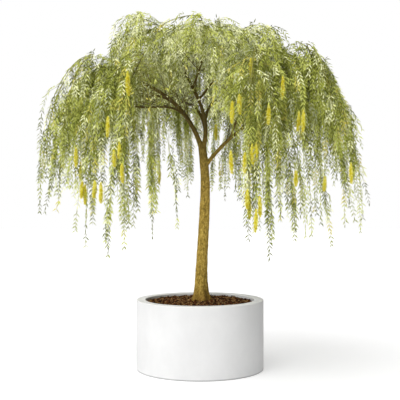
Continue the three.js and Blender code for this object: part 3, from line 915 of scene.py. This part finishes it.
def grow_mass(mass, index, lines, random):
    """Every twig of a mass by kind, and the twigs among them that carry catkins."""
    draw = lehmer(FIRST_SEED + SEED_STEP * index)
    hang = mass["hang"][0]
    bough = lines[mass["bough"]]
    stem = grow_stem(mass, bough)
    ribs = grow_ribs(mass, stem, draw)
    strands = [strand for rib in ribs for strand in grow_strands(mass, rib, draw)]
    carriers = [twig for *top, count in CATKINS if holds(mass, top)
                for twig in catkin_twigs(ribs, top, count, random)]
    shoots = grow_shoots(mass, bough, stem, random)
    for rib in ribs:
        strands += grow_fine_strands(mass, rib, rib.share_at(hang), RIB_FRINGE, random)
    for shoot in shoots:
        last = FINE_LAST if shoot.points[-1][2] > hang else TASSEL_LAST
        strands += grow_fine_strands(mass, shoot, last, 0, random)
    stem_line = Line(np.vstack([stem[:1], stem_points(stem)]))
    for turn in STEM_TURNS:
        stem_line.level = place(sum(mass["turn"]) / 2 + turn, 1, 0)
        strands += grow_fine_strands(mass, stem_line, 1, 0, random)
    ceiling = mass["crest"] - BRANCHLET_ROOM
    branchlets = grow_branchlets(bough, mass["branchlets"], BRANCHLET_LENGTHS, ceiling, random)
    finer = [twig for branchlet in branchlets
             for twig in grow_branchlets(branchlet, FINER_COUNT, FINER_LENGTHS, ceiling, random)]
    twigs = dict(stem=[stem_line], branchlet=branchlets, finer=finer, rib=ribs, shoot=shoots,
                 strand=strands + carriers)
    return twigs, carriers


def tube(pile, points, side, radii, tint):
    """A three-sided tube along points, closed at both ends."""
    ahead = unit(np.gradient(points, axis=0))
    up = unit(np.cross(ahead, side))
    level = unit(np.cross(up, ahead))
    angles = np.arange(TWIG_SIDES) * 2 * math.pi / TWIG_SIDES
    around = (np.cos(angles)[:, None] * level[:, None, :]
              + np.sin(angles)[:, None] * up[:, None, :])
    corners = (points[:, None, :] + radii[:, None, None] * around).reshape(-1, 3)
    ring = np.arange(TWIG_SIDES)
    rings = np.arange(len(points) - 1)[:, None] * TWIG_SIDES
    here = (rings + ring).ravel()
    beside = (rings + (ring + 1) % TWIG_SIDES).ravel()
    walls = np.concatenate([
        np.stack([here, beside, beside + TWIG_SIDES], -1),
        np.stack([here, beside + TWIG_SIDES, here + TWIG_SIDES], -1),
    ])
    last = len(corners) - TWIG_SIDES
    pile.add(corners, np.concatenate([walls, [ring[::-1], ring + last]]), tint)


def add_twig(pile, twig, radii, step, tint):
    count = max(3, int(twig.length / step) + 1)
    share = np.linspace(0, 1, count)
    tube(pile, twig.at(share), twig.aside(), lerp(*radii, share), tint)


# Leaves and catkins

def blades(pile, roots, ahead, aside, lengths, widths, tints):
    """Leaf blades of four faces each, folded along the midrib and bowed."""
    up = unit(np.cross(aside, ahead))
    length = lengths[:, None]
    width = widths[:, None]
    across = aside * width / 2
    widest = roots + ahead * length * LEAF_WIDEST - up * width * LEAF_FOLD
    corners = np.stack([
        roots,
        widest - across,
        roots + ahead * length,
        widest + across,
        roots + (ahead * LEAF_WIDEST + up * LEAF_BOW) * length,
    ], 1)
    faces = np.array([[0, 1, 4], [1, 2, 4], [2, 3, 4], [3, 0, 4]])
    triangles = np.arange(len(roots))[:, None, None] * 5 + faces
    pile.add(corners.reshape(-1, 3), triangles.reshape(-1, 3), np.repeat(tints, len(faces)))


def leaf_ways(twig, share, random):
    """The way that each leaf of a row of pairs points, and the way across its blade."""
    count = len(share) // 2
    along = twig.ahead(share)
    hand = np.tile([1.0, -1.0], count)
    turn = random.normal(0, SPRAY_TURN) + np.repeat(random.normal(0, LEAF_ROLL, count), 2)
    hanging = np.clip(-along[:, 2:], 0, 1) ** 2
    spread = level_ways(turn) * hanging + twig.aside() * (1 - hanging)
    out = unit(spread - along * np.sum(spread * along, -1, keepdims=True)) * hand[:, None]
    angle = np.radians(random.uniform(*LEAF_ANGLES, 2 * count))[:, None]
    ahead = np.cos(angle) * along + np.sin(angle) * out
    ahead[:, 2] -= lerp(*LEAF_SAGS, hanging[:, 0]) * random.random(2 * count)
    ahead = unit(ahead)
    face = unit(np.cross(along, out))
    twist = random.normal(0, LEAF_TWIST, (2 * count, 1))
    across = np.cos(twist) * unit(np.cross(face, ahead)) + np.sin(twist) * face
    return ahead, unit(across - ahead * np.sum(across * ahead, -1, keepdims=True))


def spray_tints(twig, count, random):
    """A tint for each leaf of a row of pairs, the same all through a spray. Inside the crown the
    sprays lean to paler tints: painted light on its shaded inside.
    """
    inside = np.linalg.norm(twig.at(0.5)[:2]) < PAINTED_LIGHT_REACH
    shares = [inner if inside else outer for _, outer, inner in LEAF_TINTS.values()]
    tints = random.choice(len(shares), count // SPRAY_PAIRS + 1, p=shares)
    return np.repeat(tints, 2 * SPRAY_PAIRS)[:2 * count]


def add_leaves(pile, twig, first, limbs, random):
    """Pairs of leaves along a twig from a share of its length on, hanging a little."""
    count = int((twig.length * (1 - first)) / LEAF_SPACING)
    if count < 1:
        return
    order = (np.arange(count) + random.uniform(*PAIR_SHIFT)) / (count + PAIR_SHIFT[0])
    uneven = random.uniform(-PAIR_UNEVEN, PAIR_UNEVEN, 2 * count) * LEAF_SPACING / twig.length
    share = np.repeat(lerp(first, 1, order), 2) + uneven
    roots = twig.at(share)
    ahead, aside = leaf_ways(twig, share, random)
    young = 1 - YOUNG_SHORTER * np.clip((share - (1 - YOUNG_PART)) / YOUNG_PART, 0, 1)
    lengths = random.uniform(*LEAF_LENGTHS, 2 * count) * young
    widths = random.uniform(*LEAF_WIDTHS, 2 * count)
    tips = roots + ahead * lengths[:, None]
    kept = np.array([is_open(tip, random, False) and clear_of_limbs(limbs, [tip]) for tip in tips])
    tints = spray_tints(twig, count, random)
    if kept.any():
        blades(pile, roots[kept], ahead[kept], aside[kept], lengths[kept], widths[kept],
               tints[kept])


def add_catkin(pile, top, random):
    """A hanging catkin: a slim core set all round with small florets in a spiral."""
    length = random.uniform(*CATKIN_LENGTHS)
    order = (np.arange(CATKIN_FLORETS) + 0.5) / CATKIN_FLORETS
    swell = CATKIN_RADIUS * np.sin(np.pi * np.clip(order, *CATKIN_ENDS)) ** CATKIN_SWELL
    turn = np.radians(np.arange(CATKIN_FLORETS) * CATKIN_TURN)
    bend = np.array([random.uniform(-1, 1), random.uniform(-1, 1), 0]) * CATKIN_BEND
    axis = top + np.outer(order, (0, 0, -length)) + np.outer(order ** 2, bend)
    out = level_ways(turn)
    sag = random.uniform(*FLORET_SAGS, (CATKIN_FLORETS, 1))
    ahead = unit(out + np.array([0, 0, -1]) * sag)
    across = np.cross((0, 0, 1), out)
    sizes = swell * random.uniform(*FLORET_SIZES, CATKIN_FLORETS)
    tints = random.integers(len(CATKIN_TINTS), size=CATKIN_FLORETS)
    blades(pile, axis, ahead, across, sizes, sizes * FLORET_WIDTH, tints)
    core = np.linspace(0, 1, CORE_POINTS)
    girth = CORE_RADIUS * np.sin(np.pi * np.clip(core, *CATKIN_ENDS)) ** 0.5
    spine = top + np.outer(core, (0, 0, -length)) + np.outer(core ** 2, bend)
    tube(pile, spine, np.array([1.0, 0, 0]), girth, 0)


def make_mass(mass, index, lines, limbs, paints):
    """The twigs, leaves and catkins that stand for one mass of foliage."""
    random = np.random.default_rng(FIRST_SEED + SEED_STEP * index)
    grown, carriers = grow_mass(mass, index, lines, random)
    piles = {"leaves": Pile(), "twigs": Pile(), "catkins": Pile()}
    for kind, twigs in grown.items():
        radii, step, tone, bare_part = TWIG_KINDS[kind]
        for twig in twigs:
            if clear_of_limbs(limbs, twig.at(LIMB_TESTS)):
                add_twig(piles["twigs"], twig, radii, step, tone)
                add_leaves(piles["leaves"], twig, bare_part, limbs, random)
    for carrier in carriers:
        add_catkin(piles["catkins"], carrier.end, random)

    name = mass["name"]
    pieces = {}
    for kind, pile in piles.items():
        if pile.count:
            mesh = pile.mesh(f"{kind}_{name}", kind == "twigs")
            pieces[kind] = object_from(f"{kind}_{name}", mesh, paints[kind])
    finish_piece(pieces["leaves"], "leaves", f"foliage_{name}")
    finish_piece(pieces["twigs"], "bark")
    if "catkins" in pieces:
        finish_piece(pieces["catkins"], "leaves")


# Planter and soil

def turned(profile, turns):
    """A closed shell: an outline of (radius, height) spun about the upright axis."""
    bm = bmesh.new()
    verts = [bm.verts.new((radius, 0, height)) for radius, height in profile]
    edges = [bm.edges.new(pair) for pair in zip(verts, verts[1:])]
    bmesh.ops.spin(bm, geom=verts + edges, cent=(0, 0, 0), axis=(0, 0, 1),
                   angle=2 * math.pi, steps=turns, use_merge=True)
    bmesh.ops.remove_doubles(bm, verts=bm.verts, dist=1e-5)
    bmesh.ops.recalc_face_normals(bm, faces=bm.faces)
    return bm


def make_pot(material):
    """The planter: one wall with rounded edges and a floor, as large as its solid."""
    inner = SOIL_RADIUS + GAP
    floor = SOIL_FLOOR - GAP
    bm = turned([(0, 0), (POT_RADIUS, 0), (POT_RADIUS, POT_HEIGHT), (inner, POT_HEIGHT),
                 (inner, floor), (0, floor)], POT_TURNS)
    corners = [edge for edge in bm.edges if not edge.is_boundary
               and edge.calc_face_angle(0) > 1 and math.hypot(*edge.verts[0].co.xy) > SOIL_RADIUS]
    bmesh.ops.bevel(bm, geom=corners, offset=POT_EDGE, offset_type="OFFSET", segments=POT_FOLD,
                    profile=0.5, affect="EDGES", material=-1)
    for face in bm.faces:
        face.smooth = abs(face.normal.z) < 0.99
    piece = object_from_bmesh("planter", bm, [material])
    finish_piece(piece, "pot_white", "pot")


def soil_height(x, y):
    """The height of the bed of soil, highest round the trunk."""
    out = max(math.hypot(x, y) - SOIL_FLAT_RADIUS, 0) / (SOIL_RADIUS - SOIL_FLAT_RADIUS)
    bumps = noise.fractal((x * SOIL_GRAIN, y * SOIL_GRAIN, 0), *SOIL_NOISE)
    return SOIL_TOP - SOIL_EDGE_DROP * out + SOIL_ROUGHNESS * (bumps - 0.5)


def make_soil(material):
    """The bed under the chips, an uneven disc closed down to the planter's floor."""
    bm = bmesh.new()
    bmesh.ops.create_circle(bm, cap_ends=True, cap_tris=False, segments=SOIL_SIDES,
                            radius=SOIL_RADIUS)
    middle = bm.faces[:]
    ring = SOIL_RADIUS / (SOIL_RINGS + 2)
    for _ in range(SOIL_RINGS):
        bmesh.ops.inset_region(bm, faces=middle, thickness=ring, use_even_offset=True)
    base = bmesh.ops.extrude_face_region(bm, geom=list(bm.faces))
    raised = [item for item in base["geom"] if isinstance(item, bmesh.types.BMVert)]
    for vert in bm.verts:
        vert.co.z = SOIL_FLOOR
    for vert in raised:
        vert.co.z = soil_height(vert.co.x, vert.co.y)
    bmesh.ops.recalc_face_normals(bm, faces=bm.faces)
    piece = object_from_bmesh("soil_bed", bm, [material])
    finish_piece(piece, "soil_mulch", "soil")


def make_chips(materials):
    """Bark chips strewn over the soil, each an uneven block lying at its own tilt."""
    random = np.random.default_rng(FIRST_SEED)
    pile = Pile()
    for _ in range(CHIP_COUNT):
        reach = (SOIL_RADIUS - CHIP_LENGTHS[1] / 2) * math.sqrt(random.random())
        x, y, _ = place(random.uniform(0, 360), reach, 0)
        if math.hypot(x - TRUNK_LINE[0][0], y) < CHIP_FREE_RADIUS:
            continue
        size = [random.uniform(*sizes) for sizes in (CHIP_LENGTHS, CHIP_WIDTHS, CHIP_THICKNESSES)]
        block = CHIP_CORNERS * size * random.uniform(*CHIP_UNEVEN, (8, 3))
        ahead = unit(np.array([*random.normal(0, 1, 2), random.normal(0, CHIP_TILT)]))
        up = np.cross(ahead, np.cross((0.0, 0.0, 1.0), ahead))
        side = unit(np.cross(unit(up + random.normal(0, CHIP_ROLL, 3)), ahead))
        turned_up = np.cross(ahead, side)
        centre = np.array([x, y, soil_height(x, y) + random.uniform(0, CHIP_LIFT)])
        corners = centre + block @ np.array([ahead, side, turned_up])
        pile.add(corners, CHIP_FACES, random.integers(len(CHIP_TINTS)))
    piece = object_from("mulch_chips", pile.mesh("mulch_chips", False), materials)
    finish_piece(piece, "soil_mulch")


# Materials

def new_material(name, colour, roughness, specular=0.3):
    """A material of one plain colour."""
    material = bpy.data.materials.new(name)
    material.use_nodes = True
    shader = shader_of(material)
    shader.inputs["Base Color"].default_value = linear(colour)
    shader.inputs["Roughness"].default_value = roughness
    shader.inputs["Specular IOR Level"].default_value = specular
    return material


def shader_of(material):
    return material.node_tree.nodes["Principled BSDF"]


def add_node(owner, kind, settings=None, inputs=None):
    """A node for a material or the world, with its settings and its plain inputs."""
    node = owner.node_tree.nodes.new(kind)
    for name, value in (settings or {}).items():
        setattr(node, name, value)
    for name, value in (inputs or {}).items():
        node.inputs[name].default_value = value
    return node


def axis_of(owner, output, axis):
    """One axis of the texture coordinates under a given output."""
    source = add_node(owner, "ShaderNodeTexCoord")
    parts = add_node(owner, "ShaderNodeSeparateXYZ")
    owner.node_tree.links.new(source.outputs[output], parts.inputs["Vector"])
    return parts.outputs[axis]


def map_range(owner, value, before, after):
    """A value moved from one range to another, and held inside it."""
    (low, high), (least, most) = before, after
    node = add_node(owner, "ShaderNodeMapRange",
                    inputs={"From Min": low, "From Max": high, "To Min": least, "To Max": most})
    owner.node_tree.links.new(value, node.inputs["Value"])
    return node.outputs["Result"]


def noise_pattern(material, scale, detail, roughness):
    """A cloudy pattern on object coordinates, stretched to the grain."""
    link = material.node_tree.links.new
    source = add_node(material, "ShaderNodeTexCoord")
    mapping = add_node(material, "ShaderNodeMapping", inputs={"Scale": scale})
    pattern = add_node(material, "ShaderNodeTexNoise",
                       inputs={"Scale": 1.0, "Detail": detail, "Roughness": roughness})
    link(source.outputs["Object"], mapping.inputs["Vector"])
    link(mapping.outputs["Vector"], pattern.inputs["Vector"])
    return pattern.outputs["Fac"]


def ramp(material, value, stops):
    """The colour that a value picks out of a row of them."""
    node = add_node(material, "ShaderNodeValToRGB")
    elements = node.color_ramp.elements
    while len(elements) < len(stops):
        elements.new(0.5)
    for element, (position, colour) in zip(elements, stops):
        element.position = position
        element.color = linear(colour)
    material.node_tree.links.new(value, node.inputs["Fac"])
    return node.outputs["Color"]


def height_mix(material, base, heights, most, colour):
    """A base colour mixed with another, none of it at one height and most of it at the next."""
    link = material.node_tree.links.new
    share = map_range(material, axis_of(material, "Object", "Z"), heights, (0, most))
    mix = add_node(material, "ShaderNodeMix", {"data_type": "RGBA"})
    mix.inputs["B"].default_value = linear(colour)
    link(share, mix.inputs["Factor"])
    link(base, mix.inputs["A"])
    return mix.outputs["Result"]


def paint(material, colour):
    material.node_tree.links.new(colour, shader_of(material).inputs["Base Color"])


def bump(material, height, strength, distance):
    link = material.node_tree.links.new
    node = add_node(material, "ShaderNodeBump", inputs={"Strength": strength, "Distance": distance})
    link(height, node.inputs["Height"])
    link(node.outputs["Normal"], shader_of(material).inputs["Normal"])


def bark_material():
    """Golden brown bark with long mottles and furrows. Painted shade darkens it up the boughs, under
    the crown, and at the foot it is redder, darkened there too with painted shade near the soil.
    """
    material = new_material("willow_bark", BARK_TONES[1], 0.85, 0.15)
    mottle = noise_pattern(material, (85, 85, 42), 6.0, 0.68)
    colour = ramp(material, mottle, list(zip((0.34, 0.5, 0.66), BARK_TONES)))
    # Painted shade: darker up the boughs, under the crown.
    colour = height_mix(material, colour, BARK_SHADE_HEIGHTS, 0.9, BARK_SHADE)
    # At the foot: a redder bark, with painted shade near the soil.
    colour = height_mix(material, colour, BARK_FOOT_RED_AND_SHADE_HEIGHTS, 0.6, BARK_FOOT_RED_AND_SHADE)
    paint(material, colour)
    bump(material, noise_pattern(material, (150, 150, 40), 8.0, 0.7), 0.7, 0.004)
    return material


def pot_material():
    """White cast stone with a faint cloudiness and fine pores, with painted light on the top of its
    rim and a painted shadow round its foot.
    """
    material = new_material("cast_white", POT_WHITE, 0.6, 0.25)
    cloud = noise_pattern(material, (3, 3, 2.2), 5.0, 0.6)
    colour = ramp(material, cloud, [(0.3, POT_CLOUD), (0.7, POT_WHITE)])
    # Painted light: the top of the rim is painted whiter.
    colour = height_mix(material, colour, (POT_HEIGHT - POT_EDGE, POT_HEIGHT), 1.0, RIM_PAINTED_LIGHT)
    # Painted shadow: the lowest band of the pot is darkened where it meets the floor.
    colour = height_mix(material, colour, (POT_FOOT_SHADOW_HEIGHT, 0.0), 1.0, POT_FOOT_SHADOW)
    paint(material, colour)
    bump(material, noise_pattern(material, (90, 90, 90), 4.0, 0.6), 0.12, 0.003)
    return material


def grained_material(name, colour, dark, scale):
    """Wood or soil in two near tones with a rough grain."""
    material = new_material(name, colour, 0.95, 0.1)
    grain = noise_pattern(material, (scale, scale, scale), 4.0, 0.65)
    paint(material, ramp(material, grain, [(0.35, dark), (0.65, colour)]))
    bump(material, grain, 0.5, 0.004)
    return material


# Studio

def make_floor():
    bm = bmesh.new()
    bmesh.ops.create_grid(bm, x_segments=1, y_segments=1, size=FLOOR_SIZE / 2)
    white = new_material("floor_white", FLOOR_WHITE, 0.9, 0.0)
    shader_of(white).inputs["Emission Color"].default_value = (1, 1, 1, 1)
    shader_of(white).inputs["Emission Strength"].default_value = FLOOR_GLOW
    floor = object_from_bmesh("floor", bm, [white])


def make_world():
    """Soft light from all round, more of it from the left and from above. The camera sees it
    plain white."""
    world = bpy.data.worlds.new("studio")
    world.use_nodes = True
    bpy.context.scene.world = world
    nodes = world.node_tree.nodes
    link = world.node_tree.links.new
    sideways = map_range(world, axis_of(world, "Generated", "X"), SKY_SPAN, SKY_SIDES)
    overhead = map_range(world, axis_of(world, "Generated", "Z"), (0, 1), SKY_RISE)
    both = add_node(world, "ShaderNodeMath", {"operation": "MULTIPLY"})
    link(sideways, both.inputs[0])
    link(overhead, both.inputs[1])
    soft = nodes["Background"]
    link(both.outputs["Value"], soft.inputs["Strength"])
    seen = add_node(world, "ShaderNodeBackground")
    for background in (soft, seen):
        background.inputs["Color"].default_value = (1, 1, 1, 1)
    path = add_node(world, "ShaderNodeLightPath")
    mix = add_node(world, "ShaderNodeMixShader")
    link(path.outputs["Is Camera Ray"], mix.inputs["Fac"])
    link(soft.outputs["Background"], mix.inputs[1])
    link(seen.outputs["Background"], mix.inputs[2])
    link(mix.outputs["Shader"], nodes["World Output"].inputs["Surface"])


def make_light(name, energy, angle, source):
    """A broad distant light from a given side."""
    lamp = bpy.data.lights.new(name, "SUN")
    lamp.energy = energy
    lamp.angle = math.radians(angle)
    light = bpy.data.objects.new(name, lamp)
    light.rotation_euler = Vector(source).to_track_quat("Z", "Y").to_euler()
    bpy.context.scene.collection.objects.link(light)


def make_camera():
    lens = bpy.data.cameras.new("camera")
    lens.sensor_width = SENSOR
    lens.lens = FOCAL_PIXELS / PHOTO_PIXELS * SENSOR
    camera = bpy.data.objects.new("camera", lens)
    camera.location = CAMERA_PLACE
    camera.rotation_euler = (math.pi / 2, 0, 0)
    bpy.context.scene.collection.objects.link(camera)
    bpy.context.scene.camera = camera


lines = limb_lines()
limbs = limb_tree(lines)
paints = {
    "leaves": [new_material(name, colour, 0.55) for name, (colour, *_) in LEAF_TINTS.items()],
    "twigs": [new_material(f"twig_{i}", colour, 0.7) for i, colour in enumerate(TWIG_TONES)],
    "catkins": [new_material(name, colour, 0.8, 0.1) for name, colour in CATKIN_TINTS.items()],
}
make_bark(lines, bark_material())
for index, mass in enumerate(MASSES):
    make_mass(mass, index, lines, limbs, paints)
make_pot(pot_material())
make_soil(grained_material("soil_brown", SOIL_BROWN, SOIL_DARK, 160))
make_chips([grained_material(name, colour, CHIP_TINTS["chip_dark"], 260)
            for name, colour in CHIP_TINTS.items()])
make_floor()
make_world()
make_light("key", *KEY_LIGHT)
make_light("fill", *FILL_LIGHT)
make_camera()
bpy.context.scene.view_settings.view_transform = "Standard"
